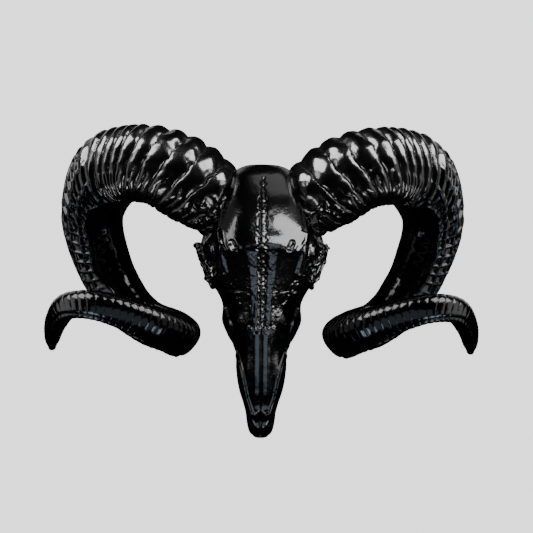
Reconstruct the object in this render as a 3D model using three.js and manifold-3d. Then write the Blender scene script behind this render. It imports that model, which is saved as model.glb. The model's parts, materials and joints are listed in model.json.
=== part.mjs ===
// Ram skull wall sculpture: a life-size ram skull with full-curl horns, cast in resin, enamelled black
// and hung on a wall by a keyhole in a pad behind the braincase.
// Frame: millimetres, +Z up, the wall is the plane y = 0 and the sculpture stands out towards -Y.
// x = 0 is the plane of symmetry and +X is the animal's left. The origin is the middle of the wall pad.
// "depth" is the distance out from the wall, so y = -depth. Everything is drawn on the left and mirrored.

import * as THREE from 'three';
import { ParametricGeometry } from 'three/addons/geometries/ParametricGeometry.js';
import { mergeVertices } from 'three/addons/utils/BufferGeometryUtils.js';
import Module from 'manifold-3d';

const wasm = await Module();
wasm.setup();

// ---- driving dimensions, mm ----

const GAP = 0.3;                 // joint between neighbouring castings

// Skull seen as level slices, from the poll down to the muzzle: height, half width, depth of the face, depth
// of the widest level, depth of the palate or base, and squareness (1 is an ellipse, less is boxier).
const SKULL_SLICES = [
  { z: 49.5, half: 15, face: 108, waist: 98, back: 86, square: 0.8 },
  { z: 46.5, half: 24, face: 113, waist: 92, back: 74, square: 0.78 },
  { z: 38, half: 32, face: 122, waist: 86, back: 52, square: 0.74 },
  { z: 20, half: 40.5, face: 129, waist: 80, back: 32, square: 0.7 },
  { z: 0, half: 46, face: 129.5, waist: 76, back: 25, square: 0.7 },
  { z: -18, half: 55, face: 124, waist: 72, back: 23, square: 0.74 },
  { z: -34, half: 61, face: 116, waist: 69, back: 22, square: 0.82 },
  { z: -52, half: 54, face: 106.5, waist: 66, back: 21, square: 0.86 },
  { z: -68, half: 44, face: 99, waist: 58, back: 20, square: 0.86 },
  { z: -82, half: 38, face: 92.5, waist: 48, back: 20, square: 0.86 },
  { z: -98, half: 38.5, face: 85.5, waist: 42, back: 20, square: 0.86 },
  { z: -112, half: 33, face: 79, waist: 40, back: 20, square: 0.86 },
  { z: -126, half: 25.5, face: 73, waist: 38, back: 19, square: 0.84 },
  { z: -145, half: 24.5, face: 65, waist: 36, back: 19, square: 0.82 },
  { z: -163, half: 22, face: 57, waist: 34, back: 19, square: 0.82 },
  { z: -178, half: 17.5, face: 50, waist: 32, back: 19, square: 0.82 },
  { z: -188, half: 14.5, face: 45, waist: 30, back: 19, square: 0.82 },
  { z: -194, half: 13.5, face: 36, waist: 28, back: 19, square: 0.84 },
  { z: -203, half: 11.8, face: 33, waist: 26, back: 19, square: 0.86 },
  { z: -211, half: 7.5, face: 29, waist: 25, back: 20, square: 0.9 },
];
const POLL = { z: 51, depth: 99 };
const MUZZLE = { z: -214.5, depth: 24.5 };
const SKULL_AROUND = 22;
const SKULL_STEPS_PER_SLICE = 2;

// Sutures, as half outlines in the x-z plane.
const FRONTAL_SUTURE = [[0, -105], [13, -105], [21, -84], [34, -70], [75, -64]];
const NASAL_OUTLINE = [[0, -105], [13, -105], [20.5, -121], [20, -140], [18, -154], [15, -171], [9, -189],
  [5, -192], [0, -187]];
const INCISIVE_SUTURE = [[0, -187], [12, -178], [34, -160]];
const NASAL_FLOOR = { topZ: -105, topDepth: 62, tipZ: -190, tipDepth: 37 };

const ORBIT = { x: 54, depth: 72, z: -44, radius: 20, rim: 4, socket: 19 };
const ORBIT_FACING = new THREE.Vector3(0.9, -0.17, -0.38).normalize();
const ARCH = { points: [[48, 56, -62], [57, 50, -36], [54, 41, -14], [36, 37, 0]], half: 3, height: 5 };

const TOOTH = { count: 6, pitch: 11.8, firstZ: -146, firstX: 16.5, lastX: 28.5, halfLength: 6.6, halfWidth: 6,
  tip: 5, root: 26 };
const CONDYLE = { x: 13, depth: 42, z: 38, radius: 12 };
const FORAMEN = { depth: 48, z: 50, radius: 9.5 };

const PAD = { width: 60, height: 64, corner: 10, depth: 34 };
const KEYHOLE = { z: 12, head: 5, slot: 2.6, rise: 9, plate: 3.5, pocket: 12 };

// Horn: stations along its middle line, each with its place, its radius, how far its keel has turned
// from the outside of the curl (degrees) and how sharp its edges are (0 round, 1 boxy).
const HORN_STATIONS = [
  { x: 33, depth: 76, z: 3, radius: 31, keel: 160, edge: 0.3 },         // root, inside the skull
  { x: 61.5, depth: 89, z: 30.5, radius: 41, keel: 155, edge: 0.4 },    // rises from the forehead
  { x: 101, depth: 93, z: 50, radius: 39.3, keel: 145, edge: 0.5 },     // crown of the curl
  { x: 141, depth: 80, z: 46, radius: 37.5, keel: 120, edge: 0.5 },
  { x: 164.5, depth: 52, z: 8, radius: 31, keel: 80, edge: 0.5 },       // widest point
  { x: 155.5, depth: 36, z: -40, radius: 27.5, keel: 62, edge: 0.5 },
  { x: 135.5, depth: 37, z: -77, radius: 25, keel: 50, edge: 0.6 },     // closest to the wall
  { x: 112, depth: 47, z: -97.5, radius: 22, keel: 38, edge: 0.8 },
  { x: 84, depth: 74, z: -107, radius: 22, keel: 26, edge: 1 },         // turns to the front
  { x: 81, depth: 104, z: -108.5, radius: 21, keel: 20, edge: 1 },
  { x: 99, depth: 130, z: -99, radius: 18.5, keel: 20, edge: 1 },
  { x: 126, depth: 144, z: -88, radius: 16, keel: 20, edge: 1 },
  { x: 152, depth: 148, z: -81.5, radius: 14.4, keel: 20, edge: 0.9 },  // nearest the viewer
  { x: 176, depth: 137, z: -83, radius: 13, keel: 20, edge: 0.7 },
  { x: 190.5, depth: 113, z: -98, radius: 11, keel: 20, edge: 0.5 },
  { x: 197.5, depth: 88, z: -115, radius: 7.8, keel: 20, edge: 0.3 },
  { x: 199, depth: 78, z: -124, radius: 4.2, keel: 20, edge: 0.2 },     // tip
];
const CURL_CENTRE = { x: 112, depth: 75, z: -30 };
// The section's three edges, as angles from the keel (degrees) and heights in radii at edge 1.
const SECTION_EDGES = [{ at: 0, height: 0.17 }, { at: -95, height: 0.15 }, { at: 130, height: 0.09 }];
const SECTION_FLAT = 0.93;       // radius between the edges
const SECTION_SHARPNESS = 5;
const HORN_LENGTHS = [
  { name: 'base', from: 0, to: 0.235, rings: 0 },   // its rings follow its ribs
  { name: 'crown', from: 0.235, to: 0.475, rings: 14 },
  { name: 'lower', from: 0.475, to: 0.72, rings: 12 },
  { name: 'tip', from: 0.72, to: 1, rings: 15 },
];
const HORN_AROUND = 12;

// Fat ribs across the base: their spacing and the depth of the grooves between them, by the length along
// the middle line from the root. Towards the underside the grooves are shallower.
const RIB_ROWS = [
  { at: 0, spacing: 16.5, depth: 3 },
  { at: 46, spacing: 17, depth: 3.3 },
  { at: 63, spacing: 13.3, depth: 3.1 },
  { at: 89, spacing: 11, depth: 2.7 },
  { at: 100, spacing: 8, depth: 2.6 },
  { at: 121, spacing: 5.5, depth: 2.5 },
  { at: 136, spacing: 7.5, depth: 2.4 },
];
const FIRST_RIB = 13.5;
const RIB_FATNESS = 0.6;         // 1 is a cosine, less has a wider top and a thinner groove
const UNDERSIDE = { start: [78, 118], end: [230, 300], shallower: 0.62 };   // degrees from the outside

const ENAMEL = { color: 0x0b0b0d, roughness: 0.2, metalness: 0 };
const HORN_ENAMEL = { color: 0x0d0d0f, roughness: 0.24, metalness: 0 };

// ---- helpers: closed bodies, joins and cuts ----

// Leaves only positions, with shared points merged and collapsed triangles dropped.
function closedBody(geometry) {
  const bare = geometry.clone();
  bare.deleteAttribute('normal');
  bare.deleteAttribute('uv');
  const merged = mergeVertices(bare, 1e-4);
  const source = merged.getIndex().array;
  const kept = [];
  for (let i = 0; i < source.length; i += 3) {
    const [a, b, c] = [source[i], source[i + 1], source[i + 2]];
    if (a !== b && b !== c && a !== c) {
      kept.push(a, b, c);
    }
  }
  merged.setIndex(kept);
  return merged;
}

function solidOf(geometry) {
  const body = closedBody(geometry);
  return new wasm.Manifold(new wasm.Mesh({
    numProp: 3,
    vertProperties: Float32Array.from(body.getAttribute('position').array),
    triVerts: Uint32Array.from(body.getIndex().array),
  }));
}

function geometryOf(solid) {
  const mesh = solid.getMesh();
  const geometry = new THREE.BufferGeometry();
  geometry.setAttribute('position', new THREE.BufferAttribute(Float32Array.from(mesh.vertProperties), 3));
  geometry.setIndex(Array.from(mesh.triVerts));
  return geometry;
}

// The same shape on the animal's other side: x changes sign and each triangle is wound the other way.
function mirrored(geometry) {
  const other = closedBody(geometry);
  other.applyMatrix4(new THREE.Matrix4().makeScale(-1, 1, 1));
  const index = other.getIndex().array;
  const flipped = [];
  for (let i = 0; i < index.length; i += 3) {
    flipped.push(index[i], index[i + 2], index[i + 1]);
  }
  other.setIndex(flipped);
  return other;
}

function signedPower(value, exponent) {
  return Math.sign(value) * Math.abs(value) ** exponent;
}

// Catmull-Rom value of one field of a table of rows, at a place counted in rows.
function alongRows(rows, field, place) {
  const last = rows.length - 1;
  const i = Math.min(Math.max(Math.floor(place), 0), last - 1);
  const t = place - i;
  const p0 = rows[Math.max(i - 1, 0)][field];
  const p1 = rows[i][field];
  const p2 = rows[i + 1][field];
  const p3 = rows[Math.min(i + 2, last)][field];
  const slope1 = (p2 - p0) / 2;
  const slope2 = (p3 - p1) / 2;
  const curve = 2 * (p1 - p2) + slope1 + slope2;
  const bend = 3 * (p2 - p1) - 2 * slope1 - slope2;
  return ((curve * t + bend) * t + slope1) * t + p1;
}

// ---- skull ----

// The whole skull as one skin of level slices, each half an ellipse in front of its widest level and half
// behind it.
function skullGeometry(grow) {
  const rings = (SKULL_SLICES.length - 1) * SKULL_STEPS_PER_SLICE;
  const rows = rings + 2;
  const surface = (u, v, target) => {
    const row = Math.round(v * rows);
    if (row === 0) {
      target.set(0, -POLL.depth, POLL.z + grow);
      return;
    }
    if (row === rows) {
      target.set(0, -MUZZLE.depth, MUZZLE.z - grow);
      return;
    }
    const place = (row - 1) / SKULL_STEPS_PER_SLICE;
    const half = alongRows(SKULL_SLICES, 'half', place) + grow;
    const waist = alongRows(SKULL_SLICES, 'waist', place);
    const face = alongRows(SKULL_SLICES, 'face', place) + grow;
    const back = alongRows(SKULL_SLICES, 'back', place) - grow;
    const square = alongRows(SKULL_SLICES, 'square', place);
    const angle = 2 * Math.PI * u;
    const reach = signedPower(Math.sin(angle), square);
    const depth = waist + reach * (reach > 0 ? face - waist : waist - back);
    target.set(half * signedPower(Math.cos(angle), square), -depth, alongRows(SKULL_SLICES, 'z', place));
  };
  return new ParametricGeometry(surface, SKULL_AROUND, rows);
}

// A prism through the skull, front to back, over an outline in the x-z plane.
function prism(outline) {
  const shape = new THREE.Shape(outline.map(([x, z]) => new THREE.Vector2(x, z)));
  const geometry = new THREE.ExtrudeGeometry(shape, { depth: 200, bevelEnabled: false });
  geometry.rotateX(Math.PI / 2);
  geometry.translate(0, 20, 0);
  return solidOf(geometry);
}

// Both halves of an outline that starts and ends on the midline.
function wholeOutline(half) {
  const inner = half.filter(([x]) => x > 0).reverse().map(([x, z]) => [-x, z]);
  return [...half, ...inner];
}

// Thin saw cut through the skull along a line in the x-z plane and its mirror image.
function sawCut(line) {
  const cuts = [];
  for (let i = 0; i < line.length - 1; i += 1) {
    const [x1, z1] = line[i];
    const [x2, z2] = line[i + 1];
    const box = new THREE.BoxGeometry(Math.hypot(x2 - x1, z2 - z1) + GAP, 260, GAP);
    box.rotateY(-Math.atan2(z2 - z1, x2 - x1));
    box.translate((x1 + x2) / 2, -60, (z1 + z2) / 2);
    cuts.push(solidOf(box), solidOf(mirrored(box)));
  }
  return joined(cuts);
}

function joined(solids) {
  return solids.reduce((sum, solid) => sum.add(solid));
}

// Everything in front of the floor of the nose, lowered by a clearance.
function aboveNasalFloor(clearance) {
  const { topZ, topDepth, tipZ, tipDepth } = NASAL_FLOOR;
  const box = new THREE.BoxGeometry(120, 120, 220);
  box.translate(0, -60, 0);
  box.rotateX(Math.atan2(topDepth - tipDepth, topZ - tipZ));
  box.translate(0, -(topDepth + tipDepth) / 2 + clearance, (topZ + tipZ) / 2);
  return solidOf(box);
}

function orbitRim(grow) {
  const ring = new THREE.TorusGeometry(ORBIT.radius, ORBIT.rim + grow, 6, 16);
  ring.applyQuaternion(new THREE.Quaternion().setFromUnitVectors(new THREE.Vector3(0, 0, 1), ORBIT_FACING));
  ring.translate(ORBIT.x, -ORBIT.depth, ORBIT.z);
  return ring;
}

function orbitSocket() {
  const ball = new THREE.SphereGeometry(ORBIT.socket, 12, 8);
  const place = ORBIT_FACING.clone().multiplyScalar(3);
  ball.translate(ORBIT.x + place.x, -ORBIT.depth + place.y, ORBIT.z + place.z);
  return ball;
}

// Flat bar swept from the cheek, behind the eye socket, to the side of the braincase.
function cheekArch() {
  const { points, half, height } = ARCH;
  const path = new THREE.CatmullRomCurve3(points.map(([x, depth, z]) => new THREE.Vector3(x, -depth, z)));
  const section = new THREE.Shape();
  section.absellipse(0, 0, height, half, 0, 2 * Math.PI);
  return new THREE.ExtrudeGeometry(section, { extrudePath: path, steps: 9, curveSegments: 2 });
}

// Cheek teeth of one side: blunt oval columns in a row that widens towards the throat.
function toothRow() {
  const teeth = [];
  for (let i = 0; i < TOOTH.count; i += 1) {
    const share = i / (TOOTH.count - 1);
    const column = new THREE.CylinderGeometry(1.06, 0.9, TOOTH.root - TOOTH.tip, 7);
    column.scale(TOOTH.halfWidth, 1, TOOTH.halfLength);
    column.rotateX(Math.PI);
    const x = THREE.MathUtils.lerp(TOOTH.firstX, TOOTH.lastX, share ** 0.8);
    column.translate(x, -(TOOTH.root + TOOTH.tip) / 2, TOOTH.firstZ + i * TOOTH.pitch);
    teeth.push(solidOf(column));
  }
  return joined(teeth);
}

function bothSides(geometry) {
  return solidOf(geometry).add(solidOf(mirrored(geometry)));
}

function condyle(grow) {
  const ball = new THREE.SphereGeometry(CONDYLE.radius + grow, 8, 6);
  ball.scale(0.8, 1.25, 0.9);
  ball.translate(CONDYLE.x, -CONDYLE.depth, CONDYLE.z);
  return ball;
}

function foramen() {
  const ball = new THREE.SphereGeometry(FORAMEN.radius, 8, 6);
  ball.translate(0, -FORAMEN.depth, FORAMEN.z);
  return solidOf(ball);
}

// ---- wall pad ----

function roundedRectangle(width, height, corner) {
  const [w, h] = [width / 2, height / 2];
  const shape = new THREE.Shape();
  shape.absarc(w - corner, h - corner, corner, 0, Math.PI / 2);
  shape.absarc(corner - w, h - corner, corner, Math.PI / 2, Math.PI);
  shape.absarc(corner - w, corner - h, corner, Math.PI, 1.5 * Math.PI);
  shape.absarc(w - corner, corner - h, corner, 1.5 * Math.PI, 2 * Math.PI);
  return shape;
}

// Upright slot with round ends, cut in from the wall side between two depths.
function slotCutter(radius, fromZ, toZ, fromDepth, toDepth) {
  const shape = new THREE.Shape();
  shape.absarc(0, toZ, radius, 0, Math.PI);
  shape.absarc(0, fromZ, radius, Math.PI, 2 * Math.PI);
  const depth = toDepth - fromDepth;
  const cutter = new THREE.ExtrudeGeometry(shape, { depth, bevelEnabled: false, curveSegments: 3 });
  cutter.rotateX(Math.PI / 2);
  cutter.translate(0, -fromDepth, 0);
  return solidOf(cutter);
}

function keyhole() {
  const { z, head, slot, rise, plate, pocket } = KEYHOLE;
  const entry = slotCutter(head, z, z + 0.01, -1, pocket);
  const neck = slotCutter(slot, z, z + rise, -1, plate + 1);
  const undercut = slotCutter(head, z, z + rise, plate, pocket);
  return joined([entry, neck, undercut]);
}

function padBlock() {
  const shape = roundedRectangle(PAD.width, PAD.height, PAD.corner);
  const block = new THREE.ExtrudeGeometry(shape, { depth: PAD.depth, bevelEnabled: false, curveSegments: 3 });
  block.rotateX(Math.PI / 2);
  return solidOf(block);
}

// ---- horns ----

const hornLine = new THREE.CatmullRomCurve3(
  HORN_STATIONS.map(({ x, depth, z }) => new THREE.Vector3(x, -depth, z)),
  false,
  'centripetal',
);
hornLine.arcLengthDivisions = 800;
const hornTotal = hornLine.getLength();
const curlCentre = new THREE.Vector3(CURL_CENTRE.x, -CURL_CENTRE.depth, CURL_CENTRE.z);

// Radius of the section in one direction: nearly round, with a raised edge at the keel and two other corners.
function sectionRadius(radius, edge, fromKeel) {
  const edges = SECTION_EDGES.map(({ at, height }) => {
    const turn = fromKeel - THREE.MathUtils.degToRad(at);
    return height * Math.exp(SECTION_SHARPNESS * (Math.cos(turn) - 1));
  });
  return radius * (1 - edge * (1 - SECTION_FLAT) + edge * edges.reduce((sum, rise) => sum + rise));
}

// One field of the rib table at a length along the horn, in straight steps between its rows.
function ribValue(field, length) {
  const next = Math.max(RIB_ROWS.findIndex((row) => row.at > length), 1);
  const [before, after] = [RIB_ROWS[next - 1], RIB_ROWS[next]];
  const share = Math.min((length - before.at) / (after.at - before.at), 1);
  return THREE.MathUtils.lerp(before[field], after[field], share);
}

// Lengths along the horn at which the ribs of the base stand highest.
function ribTops(end) {
  const tops = [FIRST_RIB];
  while (tops[tops.length - 1] < end) {
    const last = tops[tops.length - 1];
    tops.push(last + ribValue('spacing', last));
  }
  return tops;
}

// Rings of the base: one in each groove, with two on a wide rib and one on a narrow one.
function ribRings(end) {
  const tops = ribTops(end);
  const lengths = [0];
  for (let i = 0; i < tops.length - 1; i += 1) {
    const step = tops[i + 1] - tops[i];
    const places = step > 12 ? [0.25, 0.5, 0.75] : [0.5, 1];
    lengths.push(...places.map((place) => tops[i] + place * step));
  }
  return [...lengths.filter((length) => length < end - 1), end];
}

// How far the surface drops below the tops of the ribs.
function ribDrop(length, tops, angle) {
  const next = tops.findIndex((top) => top > length);
  const count = (length - tops[next - 1]) / (tops[next] - tops[next - 1]);
  const crest = Math.abs(Math.cos(Math.PI * count)) ** RIB_FATNESS;
  const degrees = THREE.MathUtils.radToDeg(angle);
  const { start, end, shallower } = UNDERSIDE;
  const begun = THREE.MathUtils.smoothstep(degrees, ...start);
  const ended = THREE.MathUtils.smoothstep(degrees, ...end);
  return ribValue('depth', length) * (1 - crest) * (1 - shallower * begun * (1 - ended));
}

// A length of horn over a list of shares of its middle line, as a skin of rings closed by flat ends.
function hornGeometry(shares, tops) {
  const rows = shares.length + 1;
  const surface = (u, v, target) => {
    const row = Math.round(v * rows);
    const share = shares[Math.min(Math.max(row - 1, 0), shares.length - 1)];
    const centre = hornLine.getPointAt(share);
    target.copy(centre);
    if (row === 0 || row === rows) {
      return;
    }
    const tangent = hornLine.getTangentAt(share);
    const outward = centre.clone().sub(curlCentre);
    outward.addScaledVector(tangent, -outward.dot(tangent)).normalize();
    const sideways = tangent.clone().cross(outward);
    const place = hornLine.getUtoTmapping(share) * (HORN_STATIONS.length - 1);
    const angle = 2 * Math.PI * u;
    const keel = THREE.MathUtils.degToRad(alongRows(HORN_STATIONS, 'keel', place));
    const edge = alongRows(HORN_STATIONS, 'edge', place);
    const length = share * hornTotal;
    const drop = tops && length > FIRST_RIB ? ribDrop(length, tops, angle) : 0;
    const radius = sectionRadius(alongRows(HORN_STATIONS, 'radius', place), edge, angle - keel) - drop;
    target.addScaledVector(outward, radius * Math.cos(angle));
    target.addScaledVector(sideways, radius * Math.sin(angle));
  };
  return new ParametricGeometry(surface, HORN_AROUND, rows);
}

// ---- assembly ----

const sculpture = new THREE.Group();

function addNode(name, geometry, finish) {
  const mesh = new THREE.Mesh(closedBody(geometry), new THREE.MeshStandardMaterial(finish));
  mesh.name = name;
  sculpture.add(mesh);
}

function addPair(name, geometry, finish) {
  addNode(`${name}_left`, geometry, finish);
  addNode(`${name}_right`, mirrored(geometry), finish);
}

const skull = solidOf(skullGeometry(0));
const grownSkull = solidOf(skullGeometry(GAP)).add(bothSides(condyle(2 * GAP)));
const rims = bothSides(orbitRim(GAP));
const midCut = solidOf(new THREE.BoxGeometry(GAP, 400, 600));
const frontalCut = sawCut(FRONTAL_SUTURE);
const nasalCut = sawCut(NASAL_OUTLINE).intersect(aboveNasalFloor(GAP));
const incisiveCut = sawCut(INCISIVE_SUTURE);
const leftHalf = solidOf(new THREE.BoxGeometry(200, 400, 600).translate(100, 0, 0));

// Cranium: everything above the frontal suture, with the condyles, the eye sockets and the spinal opening.
const craniumOutline = wholeOutline([...FRONTAL_SUTURE, [75, 90], [0, 90]]);
const cranium = skull
  .add(bothSides(condyle(0)))
  .intersect(prism(craniumOutline))
  .subtract(bothSides(orbitSocket()))
  .subtract(rims)
  .subtract(foramen())
  .subtract(frontalCut)
  .subtract(nasalCut);
addNode('cranium', geometryOf(cranium), ENAMEL);

const nasalPrism = prism(wholeOutline(NASAL_OUTLINE));
const nasal = skull
  .intersect(nasalPrism)
  .intersect(aboveNasalFloor(0))
  .intersect(leftHalf)
  .subtract(nasalCut)
  .subtract(midCut);
addPair('nasal', geometryOf(nasal), ENAMEL);

const underNasal = nasalPrism.intersect(aboveNasalFloor(GAP));
const maxillaOutline = [...FRONTAL_SUTURE, [75, -160], ...[...INCISIVE_SUTURE].reverse()];
const maxilla = skull
  .intersect(prism(maxillaOutline))
  .subtract(underNasal)
  .subtract(rims)
  .subtract(joined([frontalCut, nasalCut, incisiveCut, midCut]))
  .add(toothRow());
addPair('maxilla', geometryOf(maxilla), ENAMEL);

const incisiveOutline = [...INCISIVE_SUTURE, [34, -230], [0, -230]];
const incisive = skull
  .intersect(prism(incisiveOutline))
  .subtract(underNasal)
  .subtract(joined([nasalCut, incisiveCut, midCut]));
addPair('premaxilla', geometryOf(incisive), ENAMEL);

addPair('orbit_rim', orbitRim(0), ENAMEL);

const arch = solidOf(cheekArch()).subtract(grownSkull).subtract(rims);
addPair('zygomatic', geometryOf(arch), ENAMEL);

const pad = padBlock().subtract(grownSkull).subtract(keyhole());
addNode('wall_pad', geometryOf(pad), ENAMEL);

HORN_LENGTHS.forEach(({ name, from, to, rings }) => {
  const end = to === 1 ? 1 : to - GAP / hornTotal;
  const ribbed = rings === 0;
  const even = Array.from({ length: rings + 1 }, (_, i) => from + ((end - from) * i) / rings);
  const shares = ribbed ? ribRings(end * hornTotal).map((length) => length / hornTotal) : even;
  const tops = ribbed ? ribTops(end * hornTotal) : null;
  const length = solidOf(hornGeometry(shares, tops)).subtract(grownSkull).subtract(rims);
  addPair(`horn_${name}`, geometryOf(length), HORN_ENAMEL);
});

export default sculpture;
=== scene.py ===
"""Ram skull wall sculpture: a life-size ram skull with full-curl horns, cast in resin and enamelled black.

Metres, +Z up. The wall is the plane y = 0, the face looks to -Y, and +X is the animal's left.
The pieces follow the casting: the pad that hangs on the wall, the bones of the skull, then the horns.
"""
import json
import math

import bpy
import numpy as np
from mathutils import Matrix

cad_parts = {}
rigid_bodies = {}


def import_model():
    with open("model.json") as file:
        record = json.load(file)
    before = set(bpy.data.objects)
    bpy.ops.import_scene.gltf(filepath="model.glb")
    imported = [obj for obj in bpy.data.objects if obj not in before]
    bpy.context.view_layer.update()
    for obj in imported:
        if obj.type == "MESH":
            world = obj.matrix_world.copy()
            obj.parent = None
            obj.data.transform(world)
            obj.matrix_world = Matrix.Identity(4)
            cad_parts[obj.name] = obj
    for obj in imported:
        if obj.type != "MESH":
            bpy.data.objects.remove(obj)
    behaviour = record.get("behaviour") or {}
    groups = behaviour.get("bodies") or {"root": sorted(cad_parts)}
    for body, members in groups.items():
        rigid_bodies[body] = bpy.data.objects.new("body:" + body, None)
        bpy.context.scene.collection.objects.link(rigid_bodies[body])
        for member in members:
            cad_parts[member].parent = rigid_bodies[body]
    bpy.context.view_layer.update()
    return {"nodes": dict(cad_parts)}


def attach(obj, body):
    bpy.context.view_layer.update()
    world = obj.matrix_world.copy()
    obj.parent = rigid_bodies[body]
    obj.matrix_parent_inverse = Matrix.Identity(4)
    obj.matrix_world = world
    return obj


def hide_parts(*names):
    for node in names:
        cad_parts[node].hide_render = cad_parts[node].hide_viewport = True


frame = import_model()
fineness = 1.0


# ---- wall pad ----
# A rounded block behind the braincase, cast with the skull, with a keyhole for one screw.
# It is sprayed with the same black enamel, which lies thinner here, so it is a little duller.

def enamel(name, black, gloss_range, peel, dull_above=None):
    """Gloss black enamel sprayed over cast resin.

    The colour runs between two near-blacks in soft clouds and falls to a dead black where the surface attribute of
    painted shade and dullness is high: in the hollows this is painted shade, and on worn rims and, faintly, on the
    satin bridge of the nose it goes with a duller finish. The roughness follows the same clouds, rises with that
    attribute and, if dull_above gives two heights and an amount, above them. A fine bump gives the sprayed skin.
    """
    material = bpy.data.materials.new(name)
    material.use_nodes = True
    nodes = material.node_tree.nodes
    links = material.node_tree.links
    shader = nodes["Principled BSDF"]
    shader.inputs["Coat Weight"].default_value = 0.3
    shader.inputs["Coat Roughness"].default_value = 0.1

    def maths(operation, first, second, clamp=False):
        """A Math node fed by two sockets or numbers."""
        node = nodes.new("ShaderNodeMath")
        node.operation = operation
        node.use_clamp = clamp
        for socket, value in zip(node.inputs, (first, second)):
            if isinstance(value, (int, float)):
                socket.default_value = value
            else:
                links.new(value, socket)
        return node.outputs[0]

    def stretched(value, low, high, to_low, to_high):
        """A Map Range node from one span to another."""
        node = nodes.new("ShaderNodeMapRange")
        links.new(value, node.inputs["Value"])
        for socket, number in zip(node.inputs[1:5], (low, high, to_low, to_high)):
            socket.default_value = number
        return node.outputs[0]

    place = nodes.new("ShaderNodeTexCoord")
    clouds = nodes.new("ShaderNodeTexNoise")
    clouds.inputs["Scale"].default_value = 38.0
    clouds.inputs["Detail"].default_value = 5.0
    links.new(place.outputs["Object"], clouds.inputs["Vector"])
    tone = nodes.new("ShaderNodeValToRGB")
    tone.color_ramp.elements[0].position = 0.35
    tone.color_ramp.elements[0].color = (*black, 1)
    tone.color_ramp.elements[1].position = 0.7
    tone.color_ramp.elements[1].color = (*[c * 1.9 for c in black], 1)
    links.new(clouds.outputs["Fac"], tone.inputs["Fac"])
    hollow = nodes.new("ShaderNodeAttribute")
    hollow.attribute_name = "hollow"
    # the dead black that the colour falls to: painted shade in the hollows, and the darker tone of the duller worn rims
    # and bridge
    colour = nodes.new("ShaderNodeMix")
    colour.data_type = "RGBA"
    colour.inputs[7].default_value = (*[c * 0.3 for c in black], 1)
    links.new(hollow.outputs["Fac"], colour.inputs[0])
    links.new(tone.outputs["Color"], colour.inputs[6])
    links.new(colour.outputs[2], shader.inputs["Base Color"])
    rough = stretched(clouds.outputs["Fac"], 0.3, 0.75, *gloss_range)
    rough = maths("ADD", rough, maths("MULTIPLY", hollow.outputs["Fac"], 0.18))
    if dull_above:
        low, high, amount = dull_above
        height = nodes.new("ShaderNodeSeparateXYZ")
        links.new(place.outputs["Object"], height.inputs[0])
        rough = maths("ADD", rough, stretched(height.outputs["Z"], low, high, 0, amount))
    links.new(rough, shader.inputs["Roughness"])
    specks = nodes.new("ShaderNodeTexNoise")
    specks.inputs["Scale"].default_value = 420.0
    specks.inputs["Detail"].default_value = 3.0
    links.new(place.outputs["Object"], specks.inputs["Vector"])
    skin = nodes.new("ShaderNodeBump")
    skin.inputs["Strength"].default_value = peel
    skin.inputs["Distance"].default_value = 0.0006
    links.new(specks.outputs["Fac"], skin.inputs["Height"])
    links.new(skin.outputs["Normal"], shader.inputs["Normal"])
    return material


PAD_BLACK = (0.0012, 0.0012, 0.0014)
pad_enamel = enamel("pad_enamel", PAD_BLACK, (0.3, 0.45), 0.18)
pad = frame["nodes"]["wall_pad"]
pad.data.materials.clear()
pad.data.materials.append(pad_enamel)


# ---- cranium ----
# The braincase and forehead, one bone-shaped casting from the poll down to the root of the nose.
# The two smooth frontal plates meet in a beaded suture; the eye sockets are hollowed into the sides.

# Level slices of the skull: height, half width, depth of the face, of the widest level and of the base
# (all measured out from the wall), and squareness, where 1 is an ellipse and less is boxier.
SLICES = np.array([
    (0.0495, 0.015, 0.108, 0.098, 0.086, 0.8),
    (0.0465, 0.024, 0.113, 0.092, 0.074, 0.78),
    (0.038, 0.032, 0.122, 0.086, 0.052, 0.74),
    (0.020, 0.0405, 0.129, 0.080, 0.032, 0.7),
    (0.0, 0.046, 0.1295, 0.076, 0.025, 0.7),
    (-0.018, 0.055, 0.124, 0.072, 0.023, 0.74),
    (-0.034, 0.061, 0.116, 0.069, 0.022, 0.82),
    (-0.052, 0.054, 0.1065, 0.066, 0.021, 0.86),
    (-0.068, 0.044, 0.099, 0.058, 0.020, 0.86),
    (-0.082, 0.038, 0.0925, 0.048, 0.020, 0.86),
    (-0.098, 0.0385, 0.0855, 0.042, 0.020, 0.86),
    (-0.112, 0.033, 0.079, 0.040, 0.020, 0.86),
    (-0.126, 0.0255, 0.073, 0.038, 0.019, 0.84),
    (-0.145, 0.0245, 0.065, 0.036, 0.019, 0.82),
    (-0.163, 0.022, 0.057, 0.034, 0.019, 0.82),
    (-0.178, 0.0175, 0.050, 0.032, 0.019, 0.82),
    (-0.188, 0.0149, 0.045, 0.030, 0.019, 0.82),
    (-0.194, 0.0142, 0.036, 0.028, 0.019, 0.84),
    (-0.203, 0.0127, 0.0318, 0.026, 0.019, 0.86),
    (-0.2085, 0.0106, 0.0288, 0.0255, 0.0195, 0.88),
    (-0.2118, 0.0070, 0.0268, 0.025, 0.020, 0.9),
])
POLL = (0.0506, 0.099)
MUZZLE = (-0.2140, 0.0245)


def along_rows(rows, place):
    """Value of a table of rows at a place counted in rows: a Catmull-Rom cubic through each four rows, ends held."""
    last = len(rows) - 1
    first = np.clip(np.floor(place).astype(int), 0, last - 1)
    t = (place - first)[..., None]
    before, start = rows[np.maximum(first - 1, 0)], rows[first]
    end, after = rows[first + 1], rows[np.minimum(first + 2, last)]
    slope_in, slope_out = (end - before) / 2, (after - start) / 2
    curve = 2 * (start - end) + slope_in + slope_out
    bend = 3 * (end - start) - 2 * slope_in - slope_out
    return ((curve * t + bend) * t + slope_in) * t + start


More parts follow.
